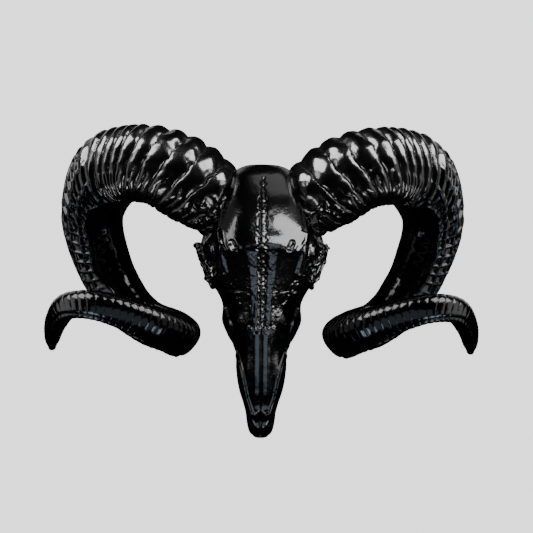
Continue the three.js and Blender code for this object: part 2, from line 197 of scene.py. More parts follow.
def rounded_end(ring, height, depth):
    """Slices that close a ring to a point: widths and depths shrink by the sine of a quarter turn, height by its
    cosine, from the point (height, depth) down to the ring."""
    turn = np.linspace(0, math.pi / 2, 40)[:-1, None]
    point = np.array([height, 0, depth, depth, depth, ring[5]])
    shrunk = point + (ring - point) * np.sin(turn)
    shrunk[:, 0] = height + (ring[0] - height) * (1 - np.cos(turn[:, 0]))
    return shrunk


skull_table = np.vstack([
    rounded_end(SLICES[0], *POLL),
    along_rows(SLICES, np.linspace(0, len(SLICES) - 1, 2400)),
    rounded_end(SLICES[-1], *MUZZLE)[::-1],
])
# Length down the middle of the face from the poll, for each slice of the table.
steps = np.hypot(np.diff(skull_table[:, 0]), np.diff(skull_table[:, 2]))
skull_fall = np.concatenate([[0], np.cumsum(steps)])


def fall_at(height):
    """Length down the face at which the skull reaches a height."""
    return np.interp(-height, -skull_table[:, 0], skull_fall)


def column_to_share(column):
    """Share of the half width at a column from -1 to 1: the sine of an angle that slows down towards the sides."""
    column = np.clip(column, -1, 1)
    return np.sin(math.pi / 2 * (1.35 * column - 0.35 * column ** 3))


def share_to_column(share):
    """Inverse of column_to_share, read from a table."""
    columns = np.linspace(-1, 1, 2001)
    return np.interp(share, column_to_share(columns), columns)


def sided(points, side):
    """Points of the animal's left as they are for side 1, or mirrored to its right for side -1."""
    return points * np.array([side, 1, 1])


def skull_skin(fall, column, front):
    """Points of the bare skull: on each slice a superellipse, x = half * share and depth = widest level plus the rise
    of the face (or minus the fall of the base) times (1 - share^(2/squareness))^(squareness/2)."""
    height, half, face, waist, base, square = (
        np.interp(fall, skull_fall, skull_table[:, i]) for i in range(6))
    share = column_to_share(column)
    rise = np.clip(1 - np.abs(share) ** (2 / square), 0, 1) ** (square / 2)
    depth = waist + (face - waist) * rise if front else waist - (waist - base) * rise
    return np.stack(np.broadcast_arrays(half * share, -depth, height), -1)


def unit(vectors):
    """Vectors scaled to length 1."""
    return vectors / np.maximum(np.linalg.norm(vectors, axis=-1, keepdims=True), 1e-12)


def skull_patch(fall, from_x, to_x, columns, front):
    """A grid of points and outward normals on the skull between two x limits given for each row."""
    half = np.maximum(np.interp(fall, skull_fall, skull_table[:, 1]), 1e-6)
    first = share_to_column(np.clip(from_x / half, -1, 1))[:, None]
    last = share_to_column(np.clip(to_x / half, -1, 1))[:, None]
    column = first + (last - first) * np.linspace(0, 1, columns)
    rows = fall[:, None] + 0 * column
    points = skull_skin(rows, column, front)
    across = skull_skin(rows, column + 0.002, front) - skull_skin(rows, column - 0.002, front)
    down = skull_skin(rows + 0.0004, column, front) - skull_skin(rows - 0.0004, column, front)
    normals = unit(np.cross(down, across))
    return points, normals if front else -normals


def grain(points, size, seed):
    """Soft random height from -1 to 1: random numbers on a cubic lattice, blended with smooth cubic weights."""
    cell = points / size + 512.0
    corner = np.floor(cell).astype(np.int64)
    part = cell - corner
    part = part * part * (3 - 2 * part)
    total = np.zeros(points.shape[:-1])
    for i in (0, 1):
        for j in (0, 1):
            for k in (0, 1):
                # corner and seed, mixed into a number that looks random
                key = ((corner[..., 0] + i) * 73856093) ^ ((corner[..., 1] + j) * 19349663)
                key = (key ^ ((corner[..., 2] + k) * 83492791) ^ (seed * 2654435761)) & 0xFFFFFFFF
                key = (key ^ (key >> 15)) * 2246822519 & 0xFFFFFFFF
                key = (key ^ (key >> 13)) * 3266489917 & 0xFFFFFFFF
                value = ((key ^ (key >> 16)) & 0xFFFF) / 32767.5 - 1
                weight = (part[..., 0] if i else 1 - part[..., 0]) * (part[..., 1] if j else 1 - part[..., 1])
                total += value * weight * (part[..., 2] if k else 1 - part[..., 2])
    return total


def distance_to(x, z, line):
    """Distance in the x-z plane from each point to a line drawn through a few corners."""
    nearest = np.full(np.shape(x), 1.0)
    for (x1, z1), (x2, z2) in zip(line[:-1], line[1:]):
        length = (x2 - x1) ** 2 + (z2 - z1) ** 2
        share = np.clip(((x - x1) * (x2 - x1) + (z - z1) * (z2 - z1)) / length, 0, 1)
        nearest = np.minimum(nearest, np.hypot(x - x1 - share * (x2 - x1), z - z1 - share * (z2 - z1)))
    return nearest


def ridge(distance, width):
    """Bell profile: 1 on the line, falling as exp(-(distance/width)^2)."""
    return np.exp(-(distance / width) ** 2)


def ramp(value, low, high):
    """0 below low, 1 above high, with a smooth cubic between."""
    t = np.clip((value - low) / (high - low), 0, 1)
    return t * t * (3 - 2 * t)


# Lines on the animal's left, mirrored to the right.
PLATE_EDGE = [(0.037, 0.012), (0.0405, -0.008), (0.0395, -0.020), (0.033, -0.030)]
TEMPLE_RIDGE = [(0.0400, -0.013), (0.0388, -0.034), (0.0345, -0.0515)]
TEMPLE_LOOP = [(0.0478, -0.027), (0.0470, -0.041), (0.0423, -0.049)]
BROW_BAND = [(0.019, -0.042), (0.0135, -0.062), (0.0095, -0.095)]
CHEEK_RIDGE = [(0.034, -0.086), (0.0268, -0.110), (0.0236, -0.124)]
BROW_HOLE = {"top": (0.0278, -0.0225), "bottom": (0.0252, -0.0275), "width": 0.0030, "depth": 0.0026}
BRIDGE_DULLNESS = 0.22
NOSE_TOP = -0.105
NASAL_ROOT = -0.1035
NASAL_EDGE_Z = [-0.189, -0.187, -0.173, -0.158, -0.141, -0.125, -0.105]
NASAL_EDGE_X = [0.0054, 0.0082, 0.0126, 0.0158, 0.0195, 0.0238, 0.0128]
NASAL_EDGE = list(zip(NASAL_EDGE_X, NASAL_EDGE_Z))
NASAL_TIP = [(-0.0002, -0.1842), (0.0047, -0.1884), (0.0079, -0.1868)]
INCISIVE_LINE = [(0.0094, -0.1880), (0.0085, -0.1944), (0.0058, -0.2005), (0.0026, -0.2030), (0.0026, -0.2133)]


def face_relief(points):
    """Height of the carving above the bare skull, and how dark and dull each point is: the hollows fully, as painted
    shade, and the bridge a little, as a duller satin finish.

    Each line adds a bell profile round its distance, beads are sines along a suture, and pits and crumbs come from
    the parts of random grain above a threshold.
    """
    x, z = np.abs(points[..., 0]), points[..., 2]
    # only the face is carved: it lies further out from the wall than the sides, and least so at the muzzle
    rear = np.interp(z, [-0.211, -0.190, -0.170], [0.0245, 0.0290, 0.0300])
    front = ramp(-points[..., 1], rear, rear + np.interp(z, [-0.190, -0.170], [0.0025, 0.0200]))
    # a fine unevenness all over, and a mottle along the bridge
    mottled = ramp(-z, 0.022, 0.030) * ramp(z, -0.110, -0.095) * front * (1 - 0.7 * ramp(x, 0.011, 0.017))
    height = 0.00012 * grain(points, 0.006, 1) + 0.00018 * mottled * grain(points, 0.0026, 15)
    # beaded rope of the suture between the frontal plates, between two wavy cracks
    half_width = np.interp(z, [-0.030, 0.010, 0.036], [0.0034, 0.0026, 0.0010])
    wave = 0.0006 * np.sin(z * 2 * math.pi / 0.0074) + 0.0009 * grain(points, 0.0026, 2)
    on_suture = ramp(z, -0.033, -0.029) * ramp(-z, -0.0385, -0.036)
    beads = np.abs(np.sin(z * math.pi / 0.0050 + 1.9 * grain(points, 0.005, 12)))
    rope = np.clip(1 - (x / half_width) ** 2, 0, 1) ** 0.5
    height += on_suture * (0.0007 * rope * (0.3 + 0.7 * beads) - 0.0016 * ridge(x - half_width - 0.0003 - wave, 0.0005))
    # the forehead ends in a low step over the bridge of the nose
    brow = z + 0.0245 + 0.0035 * (x / 0.028) ** 2 + 0.0010 * grain(points, 0.009, 16)
    height += 0.0016 * front * ridge(brow, 0.0065) * (1 - ramp(x, 0.030, 0.042))
    # bridge: a thin ridge between two beaded grooves, with broad swellings on either side
    on_bridge = ramp(-z, 0.028, 0.036) * ramp(z, -0.1035, -0.101)
    dots = 0.8 + 0.2 * np.sin(z * 2 * math.pi / 0.0034 + 2 * grain(points, 0.003, 13))
    middle = np.interp(-z, [0.034, 0.060, 0.100], [0.0105, 0.0080, 0.0066])
    spread = np.interp(-z, [0.034, 0.060, 0.100], [0.0064, 0.0050, 0.0040])
    height += on_bridge * (0.0005 * ridge(x, 0.0007) - 0.0012 * dots * ridge(x - 0.0020 - 0.5 * wave, 0.0006)
                           + 0.0008 * np.exp(-((x - middle) / spread) ** 4))
    # nose: two long convex ridges beside the middle groove, with rounded ends
    on_nose = ramp(z, -0.175, -0.169) * ramp(-z, 0.1055, 0.110)
    height += 0.0010 * on_nose * np.exp(-((x - 0.0043) / 0.0033) ** 4)
    height -= 0.0014 * ramp(-z, 0.104, 0.106) * ridge(x, np.where(z < -0.188, 0.0012, 0.0006))
    # sutures of the nose
    zigzag = 0.0013 * np.abs(np.sin(x * math.pi / 0.0045)) + 0.0004 * grain(points, 0.0016, 3) - 0.0006
    across = z - NASAL_ROOT - zigzag
    height += (0.0007 * ridge(across - 0.0007, 0.0005) - 0.0010 * ridge(across, 0.0004)) * (x < 0.0135) * front
    side = distance_to(x, z, NASAL_EDGE[:-1]) + 0.0003 * grain(points, 0.0030, 4)
    height += front * (0.0008 * ridge(side - 0.0009, 0.0007) - 0.0010 * ridge(side, 0.0005)) * ramp(-z, 0.1085, 0.112)
    rim = np.minimum(distance_to(x, z, NASAL_TIP), distance_to(x, z, INCISIVE_LINE))
    height += 0.0008 * front * ridge(rim, 0.0007) * (1 - ramp(z, -0.1840, -0.1830))
    # raised lines and bands
    height += 0.0008 * front * ridge(distance_to(x, z, PLATE_EDGE), 0.0010)
    height += 0.0019 * front * ridge(distance_to(x, z, TEMPLE_RIDGE), 0.0027)
    height += 0.0014 * front * ridge(distance_to(x, z, TEMPLE_LOOP), 0.0018)
    height += 0.0004 * front * ridge(distance_to(x, z, BROW_BAND), 0.0060)
    height += 0.0018 * front * ridge(distance_to(x, z, CHEEK_RIDGE), 0.0014)
    # holes above the eyes, slanting in towards the nose, with a raised lower lip
    hole = distance_to(x, z, [BROW_HOLE["top"], BROW_HOLE["bottom"]]) + 0.0004 * grain(points, 0.0035, 5)
    height += 0.0004 * front * ridge(hole - 1.45 * BROW_HOLE["width"], 0.0011) * ramp(-z, 0.019, 0.026)
    height -= BROW_HOLE["depth"] * front * np.clip(1 - (hole / BROW_HOLE["width"]) ** 2, 0, 1)
    # pits over the bridge and cheeks, crumbs round the horn roots and the eye sockets
    pitted = ramp(-z, 0.030, 0.050) * ramp(z, -0.125, -0.105) * (1 - 0.8 * ramp(-z, 0.066, 0.080))
    pits = np.maximum(grain(points, 0.0022, 6) + 0.4 * grain(points, 0.0011, 7) - 0.25, 0)
    height -= 0.00032 * pitted * np.minimum(pits, 0.6)
    margin = ramp(x - np.interp(z, [-0.06, -0.024, 0.036], [0.047, 0.055, 0.0285]), -0.004, 0.003)
    margin *= ramp(z, -0.070, -0.060)
    crumbs = np.maximum(grain(points, 0.0034, 8) + 0.5 * grain(points, 0.0017, 9), -0.3)
    height += 0.0015 * margin * crumbs
    strip = ridge(distance_to(x, z, [(0.036, -0.052), (0.023, -0.080)]), 0.0035)
    height += 0.0011 * front * strip * np.maximum(grain(points, 0.0026, 14), -0.3)
    # the deeper the carving, the darker: painted shade in the pits, grooves and holes
    hollow = np.clip(-height / 0.0012, 0, 1)
    satin = ramp(-z, 0.019, 0.026) * ramp(z, -0.178, -0.168) * ramp(-x, -0.034, -0.024) * front
    return height, np.maximum(hollow, BRIDGE_DULLNESS * satin)


def scooped(points, centre, facing, radius):
    """Points pressed into a ball-shaped scoop: inside its mouth each goes back along the facing direction to the far
    side of the ball, and the edge is eased by a smooth minimum."""
    away = points - centre
    along = away @ facing
    across = np.linalg.norm(away - along[..., None] * facing, axis=-1)
    floor = np.where(across < radius, -np.sqrt(np.maximum(radius ** 2 - across ** 2, 0)), 1.0)
    ease, reach = 0.0015, 1.2 * radius
    blend = np.clip(0.5 + 0.5 * (floor - along) / ease, 0, 1)
    pressed = np.where((along > -reach) & (across < radius),
                       floor * (1 - blend) + along * blend - ease * blend * (1 - blend), along)
    return points + (pressed - along)[..., None] * facing


EYE_CENTRE = np.array([0.054, -0.072, -0.044])
EYE_FACING = unit(np.array([0.9, -0.17, -0.38]))
SOCKET_RADIUS = 0.0192
SOCKET_LIFT = 0.003   # from the middle of the rim out to the centre of the ball
SPINE_HOLE = {"centre": np.array([0, -0.048, 0.050]), "facing": unit(np.array([0, 0.35, 1.0])), "radius": 0.0095}


SHARP_EDGE = math.radians(50)


def add_piece(name, mesh, hollow, material, replaced):
    """Puts a finished mesh in the scene with its painted shade and dullness, its enamel and the solids it stands for.
    """
    mesh.attributes.new("hollow", "FLOAT", "POINT").data.foreach_set("value", hollow)
    mesh.shade_smooth()
    piece = bpy.data.objects.new(name, mesh)
    bpy.context.scene.collection.objects.link(piece)
    mesh.materials.append(material)
    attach(piece, "root")
    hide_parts(*replaced)


def surface(name, parts, shade_and_dullness_parts, material, replaced):
    """A closed mesh from one or more grids of points. Each grid's rows are closed rings, its first and last rows are
    drawn together to a point in their middle, and a grid that turns out inside out is wound the other way."""
    corners, faces, all_shade_and_dullness, count = [], [], [], 0
    for grid, hollow in zip(parts, shade_and_dullness_parts):
        rows, columns = grid.shape[:2]
        points = np.vstack([grid[0].mean(0), grid.reshape(-1, 3), grid[-1].mean(0)])
        shade = np.concatenate([[hollow[0].mean()], hollow.ravel(), [hollow[-1].mean()]])
        index = 1 + np.arange(rows * columns).reshape(rows, columns)
        beside = np.roll(index, -1, axis=1)
        quads = np.stack([index[:-1], index[1:], beside[1:], beside[:-1]], -1).reshape(-1, 4)
        top = np.stack([np.zeros(columns, int), index[0], beside[0]], -1)
        bottom = np.stack([np.full(columns, len(points) - 1), beside[-1], index[-1]], -1)
        a, b, c, d = (points[quads[:, i]] for i in range(4))
        volume = (a * np.cross(b, c)).sum() + (a * np.cross(c, d)).sum()
        for fan in (top, bottom):
            volume += (points[fan[:, 0]] * np.cross(points[fan[:, 1]], points[fan[:, 2]])).sum()
        if volume < 0:
            quads, top, bottom = quads[:, ::-1], top[:, ::-1], bottom[:, ::-1]
        corners.append(points)
        all_shade_and_dullness.append(shade)
        faces += [quads + count, top + count, bottom + count]
        count += len(points)
    sizes = np.concatenate([np.full(len(f), f.shape[1]) for f in faces])
    mesh = bpy.data.meshes.new(name)
    points = np.vstack(corners)
    loops = np.concatenate([f.ravel() for f in faces])
    mesh.vertices.add(len(points))
    mesh.vertices.foreach_set("co", points.ravel())
    mesh.loops.add(len(loops))
    mesh.loops.foreach_set("vertex_index", loops)
    mesh.polygons.add(len(sizes))
    mesh.polygons.foreach_set("loop_start", np.concatenate([[0], np.cumsum(sizes)[:-1]]))
    mesh.polygons.foreach_set("loop_total", sizes)
    mesh.update(calc_edges=True)
    mesh.validate()
    add_piece(name, mesh, np.concatenate(all_shade_and_dullness), material, replaced)
    mesh.set_sharp_from_angle(angle=SHARP_EDGE)


def carved(fall, from_x, to_x, columns, side=1):
    """The carved face of the skull between two x limits, and its painted shade and dullness at each point."""
    bare, out = skull_patch(fall, from_x, to_x, columns, True)
    height, hollow = face_relief(sided(bare, side))
    return bare + out * height[..., None], hollow


def plain_column(x, depth, z):
    """One more column of points for the edge of a grid."""
    return np.stack([x, -depth, z], -1)[:, None]


def joined(front, hollow, *plain):
    """The rings of a bone, from its carved front and the plain columns that close it, and their painted shade and
    dullness.
    """
    grid = np.concatenate([front, *plain], 1)
    return grid, np.pad(hollow, ((0, 0), (0, grid.shape[1] - hollow.shape[1])))


def frontal_edge(z):
    """Half width of the cranium under the brow, where it tapers down to the root of the nose."""
    return np.interp(z, [NOSE_TOP, -0.084, -0.070, -0.064], [0.013, 0.021, 0.034, 0.075])


def rows_between(top, bottom, spacing):
    """Lengths down the face between two heights, evenly spaced."""
    start, end = fall_at(top), fall_at(bottom)
    return np.linspace(start, end, max(3, int((end - start) / spacing * fineness)))


def ball(centre, radii, rows, columns):
    """Ellipsoid as rings about the vertical."""
    up = np.linspace(0, math.pi, rows + 2)[1:-1, None]
    turn = np.linspace(0, 2 * math.pi, columns, endpoint=False)
    grid = np.stack(np.broadcast_arrays(np.sin(up) * np.cos(turn), np.sin(up) * np.sin(turn), np.cos(up)), -1)
    return centre + grid * radii


KNUCKLE = {"centre": np.array([0.013, -0.042, 0.038]), "radii": np.array([0.0096, 0.015, 0.0108])}
BONE_ROWS = 0.0006
SKULL_BLACK = (0.0005, 0.0005, 0.0006)
skull_enamel = enamel("skull_enamel", SKULL_BLACK, (0.10, 0.17), 0.32, dull_above=(-0.012, 0.030, 0.14))

fall = rows_between(POLL[0] - 0.00002, NOSE_TOP, BONE_ROWS)
z = np.interp(fall, skull_fall, skull_table[:, 0])
edge = frontal_edge(z)
front, hollow = carved(fall, -edge, edge, int(240 * fineness))
back, out = skull_patch(fall, edge, -edge, int(60 * fineness), False)
rough = 0.0005 * grain(back, 0.005, 10) + 0.0002 * grain(back, 0.002, 11)
rough[:, [0, -1]] = 0   # the two edge columns lie on the front's edges
grid, shade = joined(front, hollow, back + out * rough[..., None])
for side in (1, -1):
    facing = sided(EYE_FACING, side)
    grid = scooped(grid, sided(EYE_CENTRE, side) + SOCKET_LIFT * facing, facing, SOCKET_RADIUS)
grid = scooped(grid, SPINE_HOLE["centre"], SPINE_HOLE["facing"], SPINE_HOLE["radius"])
knuckles = [ball(sided(KNUCKLE["centre"], side), KNUCKLE["radii"], 24, 32) for side in (1, -1)]
surface("cranium_casting", [grid, *knuckles], [shade] + [np.zeros(k.shape[:2]) for k in knuckles],
        skull_enamel, ["cranium"])


# ---- eye rims ----
# A crusty ring of bone round each eye socket, with knobs along it that break the outline.
# It is resin like the skull, cast in one with it, and wears the same enamel.

EYE_RIM = {"radius": 0.020, "thickness": 0.0040}


def framed(facing):
    """Two directions at right angles to a facing direction."""
    first = unit(np.cross(facing, np.array([0, 0, 1.0])))
    return first, np.cross(facing, first)


def closed_surface(name, grid, hollow, material, replaced):
    """A mesh from a grid that closes on itself both ways, like a ring."""
    rows, columns = grid.shape[:2]
    index = np.arange(rows * columns).reshape(rows, columns)
    below, beside = np.roll(index, -1, 0), np.roll(index, -1, 1)
    quads = np.stack([index, below, np.roll(below, -1, 1), beside], -1).reshape(-1, 4)
    points = grid.reshape(-1, 3)
    a, b, c, d = (points[quads[:, i]] for i in range(4))
    if (a * np.cross(b, c)).sum() + (a * np.cross(c, d)).sum() < 0:
        quads = quads[:, ::-1]
    mesh = bpy.data.meshes.new(name)
    mesh.from_pydata(points, [], quads.tolist())
    add_piece(name, mesh, hollow.ravel(), material, replaced)


for side, word in ((1, "left"), (-1, "right")):
    first, second = framed(EYE_FACING)
    around = np.linspace(0, 2 * math.pi, int(220 * fineness), endpoint=False)[:, None]
    across = np.linspace(0, 2 * math.pi, int(44 * fineness), endpoint=False)
    spoke = np.cos(around)[..., None] * first + np.sin(around)[..., None] * second
    middle = EYE_CENTRE + EYE_RIM["radius"] * spoke
    normal = np.cos(across)[None, :, None] * spoke + np.sin(across)[None, :, None] * EYE_FACING
    ring = middle + EYE_RIM["thickness"] * normal
    lumps = 1.5 * grain(sided(ring, side), 0.0060, 21) + 0.45 * grain(sided(ring, side), 0.0026, 22)
    ring = ring + normal * (0.0017 * np.clip(lumps, -1.0, 1.3) - 0.0011)[..., None]
    # the low places between the knobs are painted darker, as shade, and made duller
    closed_surface(f"eye_rim_{word}", sided(ring, side), np.clip(-lumps, 0, 1) * 0.6,
                   skull_enamel, [f"orbit_rim_{word}"])


# ---- cheek arches ----
# A flat bar of bone behind each eye socket, from the cheek to the side of the braincase.
# Both are resin, cast in one with the skull, under the same enamel.

ARCH_LINE = np.array([(0.048, -0.056, -0.062), (0.057, -0.050, -0.036), (0.054, -0.041, -0.014), (0.036, -0.037, 0)])
ARCH_HALF = 0.003
ARCH_HEIGHT = 0.005


def swept(line, outward, half_width, half_height, rows, columns):
    """An ellipse carried along a line: its height follows the line's sideways direction and its width the outward
    one, and it shrinks to the ends as the square root of a sine."""
    path = along_rows(line, np.linspace(0, len(line) - 1, rows))
    ahead = unit(np.gradient(path, axis=0))
    out = unit(outward - (ahead @ outward)[:, None] * ahead)
    up = np.cross(ahead, out)
    turn = np.linspace(0, 2 * math.pi, columns, endpoint=False)[None, :, None]
    taper = np.sqrt(np.sin(np.linspace(0.02, math.pi - 0.02, rows)))[:, None, None]
    return (path[:, None] + taper * (half_width * np.cos(turn) * out[:, None]
                                     + half_height * np.sin(turn) * up[:, None]))


for side, word in ((1, "left"), (-1, "right")):
    bar = swept(ARCH_LINE, np.array([1.0, 0, 0]), ARCH_HALF, ARCH_HEIGHT, int(120 * fineness), int(36 * fineness))
    lumps = grain(bar, 0.004, 31)
    bar = sided(bar + 0.0004 * lumps[..., None] * unit(bar - bar.mean(1, keepdims=True)), side)
    # the low places of the lumps are painted darker, as shade, and made duller
    surface(f"cheek_arch_{word}", [bar], [np.clip(-lumps, 0, 1) * 0.3], skull_enamel,
            [f"zygomatic_{word}"])


# ---- upper jaws ----
# The long side bones of the face with the cheek teeth, all one resin casting with the skull. Each starts under
# the brow, runs beside the nasal bone and closes the palate at the middle.

NASAL_FLOOR_Z = [-0.190, -0.105]
NASAL_FLOOR_DEPTH = [0.037, 0.062]
INCISIVE_Z = [-0.187, -0.178, -0.160]
INCISIVE_X = [0.0, 0.012, 0.034]
JAW_TOP = -0.0641
BONE_GAP = 0.0003   # hairline between a jaw and the bones beside and over it
TOOTH = {"count": 6, "pitch": 0.0118, "first_z": -0.146, "first_x": 0.0165, "last_x": 0.0285,
         "half_length": 0.0064, "half_width": 0.0058, "tip": 0.0052, "root": 0.026}


def nasal_edge(z):
    """Half width of the nose where the nasal bones meet the upper jaws."""
    return np.interp(z, NASAL_EDGE_Z, NASAL_EDGE_X)


def tooth(x, z, tilt):
    """One cheek tooth: an upright oval column with two lobes, its crown worn into low cusps."""
    columns = 40
    turn = np.linspace(0, 2 * math.pi, columns, endpoint=False)
    lobes = 1 - 0.13 * np.abs(np.sin(turn)) ** 8
    share = np.concatenate([np.linspace(0, 1, 14), np.ones(5)])[:, None]
    shrink = np.concatenate([0.9 + 0.1 * np.linspace(0, 1, 14), [0.97, 0.9, 0.7, 0.4, 0.15]])[:, None]
    depth = TOOTH["root"] + (TOOTH["tip"] - TOOTH["root"]) * share
    cusp = 0.0009 * np.concatenate([np.zeros(14), [-0.3, 0, 0.6, 0.1, -0.6]])[:, None] * np.cos(2 * turn)
    grid = np.stack(np.broadcast_arrays(
        x + TOOTH["half_width"] * shrink * lobes * np.cos(turn),
        -(depth + np.maximum(cusp, -0.0002)),
        z + TOOTH["half_length"] * shrink * np.sin(turn)), -1)
    return grid + np.stack([tilt * (share - 0.5), 0 * share, 0 * share], -1)


for side, word in ((1, "left"), (-1, "right")):
    fall = rows_between(JAW_TOP, INCISIVE_Z[0], BONE_ROWS)
    z = np.interp(fall, skull_fall, skull_table[:, 0])
    half = np.interp(fall, skull_fall, skull_table[:, 1])
    beside_nose = z <= NOSE_TOP
    inner = np.minimum(np.where(beside_nose, nasal_edge(z), frontal_edge(z)), half)
    outer = np.where(z > INCISIVE_Z[-1], 1.0, np.interp(z, INCISIVE_Z, INCISIVE_X))
    outer = np.maximum(outer, inner + 0.0004)
    # beside the nose the palate reaches the middle, and the nasal bone lies on the floor over it
    floor = np.interp(z, NASAL_FLOOR_Z, NASAL_FLOOR_DEPTH) - BONE_GAP
    palate = np.where(beside_nose, -BONE_GAP, inner)
    front, hollow = carved(fall, inner, outer, int(110 * fineness), side)
    under, _ = skull_patch(fall, outer, palate, int(40 * fineness), False)
    grid, shade = joined(front, hollow, under, plain_column(palate, np.where(beside_nose, floor, 0.05), z),
                         plain_column(inner, floor, z))
    teeth = []
    for i in range(TOOTH["count"]):
        x = TOOTH["first_x"] + (TOOTH["last_x"] - TOOTH["first_x"]) * (i / (TOOTH["count"] - 1)) ** 0.8
        teeth.append(tooth(x, TOOTH["first_z"] + i * TOOTH["pitch"], 0.0008))
    parts = [sided(part, side) for part in (grid, *teeth)]
    surface(f"upper_jaw_{word}", parts, [shade] + [np.full(t.shape[:2], 0.15) for t in teeth],
            skull_enamel, [f"maxilla_{word}"])


# ---- nasal bones ----
# Two long narrow plates that roof the nose, side by side; their pointed tips overhang the opening.
# They are resin, cast in one with the upper jaws that they lie between, and wear the same enamel.

NASAL_TIP_Z = -0.1845

for side, word in ((1, "left"), (-1, "right")):
    fall = rows_between(NOSE_TOP - 0.0001, -0.1888, BONE_ROWS)
    z = np.interp(fall, skull_fall, skull_table[:, 0])
    outer = nasal_edge(z)
    inner = np.clip(NASAL_TIP_Z - z, -0.0002, outer - 0.0005)
    floor = np.interp(z, NASAL_FLOOR_Z, NASAL_FLOOR_DEPTH)
    front, hollow = carved(fall, inner, outer, int(70 * fineness), side)
    grid, shade = joined(front, hollow, plain_column(outer, floor, z), plain_column(inner, floor, z))
    surface(f"nasal_bone_{word}", [sided(grid, side)], [shade], skull_enamel, [f"nasal_{word}"])


# ---- muzzle bones ----
# The two rounded bones at the end of the muzzle, parted by a groove; they run up beneath the nasal tips.
# They are the lower end of the same resin casting, under the same enamel.

TUCK = 0.0030   # how far they dip where the nasal bones lie over them

for side, word in ((1, "left"), (-1, "right")):
    fall = rows_between(-0.1605, MUZZLE[0] + 0.00002, 0.0005)   # rows a little closer than on the other bones
    z = np.interp(fall, skull_fall, skull_table[:, 0])
    half = np.interp(fall, skull_fall, skull_table[:, 1])
    inner = np.where(z > INCISIVE_Z[0], np.interp(z, INCISIVE_Z, INCISIVE_X), -0.0002)
    inner = np.minimum(inner, half * 0.9995)
    front, out = skull_patch(fall, inner, half, int(90 * fineness), True)
    height, hollow = face_relief(sided(front, side))
    tucked = ramp(nasal_edge(front[..., 2]) - front[..., 0], -0.0002, 0.0008) * (front[..., 2] > -0.1885)
    under, _ = skull_patch(fall, half, inner, int(30 * fineness), False)
    grid, shade = joined(front + out * (height - TUCK * tucked)[..., None], hollow, under)
    surface(f"muzzle_bone_{word}", [sided(grid, side)], [shade], skull_enamel,
            [f"premaxilla_{word}"])


# ---- horns ----
# Full-curl horns of the same resin, cast in one with the skull and kept here as four lengths each, under enamel.
# Rounded ribs cross the upper arm, open cells run down the outer edge, and tight rings reach the blunt tip.

# Stations along the middle line: x, depth, z, radius, turn of the keel from the outside of the curl, edge.
STATIONS = np.array([
    (0.033, 0.076, 0.003, 0.031, 160, 0.3),
    (0.0615, 0.089, 0.0305, 0.041, 155, 0.4),
    (0.101, 0.093, 0.050, 0.0393, 145, 0.5),
    (0.141, 0.080, 0.046, 0.0375, 120, 0.5),
    (0.1645, 0.052, 0.008, 0.031, 80, 0.5),
    (0.1555, 0.036, -0.040, 0.0275, 62, 0.5),
    (0.1355, 0.037, -0.077, 0.025, 50, 0.6),
    (0.112, 0.047, -0.0975, 0.022, 38, 0.8),
    (0.084, 0.074, -0.107, 0.022, 26, 1),
    (0.081, 0.104, -0.1085, 0.021, 20, 1),
    (0.099, 0.130, -0.099, 0.0185, 20, 1),
    (0.126, 0.144, -0.088, 0.016, 20, 1),
    (0.152, 0.148, -0.0815, 0.0144, 20, 0.9),
    (0.176, 0.137, -0.083, 0.013, 20, 0.7),
    (0.1905, 0.113, -0.098, 0.011, 20, 0.5),
    (0.1975, 0.088, -0.115, 0.0078, 20, 0.3),
    (0.199, 0.078, -0.124, 0.0042, 20, 0.2),
])
CURL_CENTRE = np.array([0.112, -0.075, -0.030])
EDGES = [(0, 0.17), (-95, 0.15), (130, 0.09)]   # degrees from the keel, height in radii
FLAT = 0.93        # radius between the edges, as a share of the full one
SHARPNESS = 5
TIP_CAP = {"rings": 12, "bulge": 0.7}
# Each length: its start and end as shares of the horn, and the columns of its mesh.
LENGTHS = [("base", 0, 0.235, 300), ("crown", 0.235, 0.475, 290), ("lower", 0.475, 0.72, 230), ("tip", 0.72, 1, 180)]
ROW_SPACING = 0.00044
# Ribs: their spacing, the depth of the grooves between them, and how far they lean towards the tip on the inner
# side of the curl, by the length along the middle line.
RIB_AT = [0, 0.046, 0.063, 0.075, 0.089, 0.097, 0.115, 0.130, 0.146, 0.155, 0.240, 0.300, 0.370, 0.520, 0.545, 0.580]
RIB_SPACING = [0.0165, 0.0170, 0.0133, 0.0120, 0.0105, 0.0057, 0.0065, 0.0075, 0.0073, 0.0113, 0.0113, 0.0085, 0.0068,
               0.0058, 0.0044, 0.0036]
GROOVE_AT = [0, 0.09, 0.13, 0.16, 0.30, 0.38, 0.52, 0.58]
GROOVE_DEPTH = [0.0042, 0.0039, 0.0034, 0.0030, 0.0015, 0.0014, 0.0012, 0.0008]
LEAN_AT = [0, 0.05, 0.10, 0.14, 0.20, 0.30, 0.44, 0.52, 0.58]
LEAN = [0.004, 0.014, 0.018, 0.024, 0.020, 0.004, 0.0, 0.014, 0.012]
FIRST_RIB = 0.0135


def horn_line(place):
    """Middle line of the horn at a place counted in stations: a centripetal Catmull-Rom spline, whose knots are
    spaced by the square root of the distance between stations."""
    stations = np.stack([STATIONS[:, 0], -STATIONS[:, 1], STATIONS[:, 2]], -1)
    ends = np.vstack([2 * stations[0] - stations[1], stations, 2 * stations[-1] - stations[-2]])
    first = np.minimum(np.floor(place).astype(int), len(stations) - 2)
    t = (place - first)[:, None]
    p0, p1, p2, p3 = (ends[first + i] for i in range(4))
    knot = [np.sqrt(np.linalg.norm(b - a, axis=1, keepdims=True)) for a, b in ((p0, p1), (p1, p2), (p2, p3))]
    slope_in = ((p1 - p0) / knot[0] - (p2 - p0) / (knot[0] + knot[1]) + (p2 - p1) / knot[1]) * knot[1]
    slope_out = ((p2 - p1) / knot[1] - (p3 - p1) / (knot[1] + knot[2]) + (p3 - p2) / knot[2]) * knot[1]
    curve = 2 * (p1 - p2) + slope_in + slope_out
    bend = 3 * (p2 - p1) - 2 * slope_in - slope_out
    return ((curve * t + bend) * t + slope_in) * t + p1


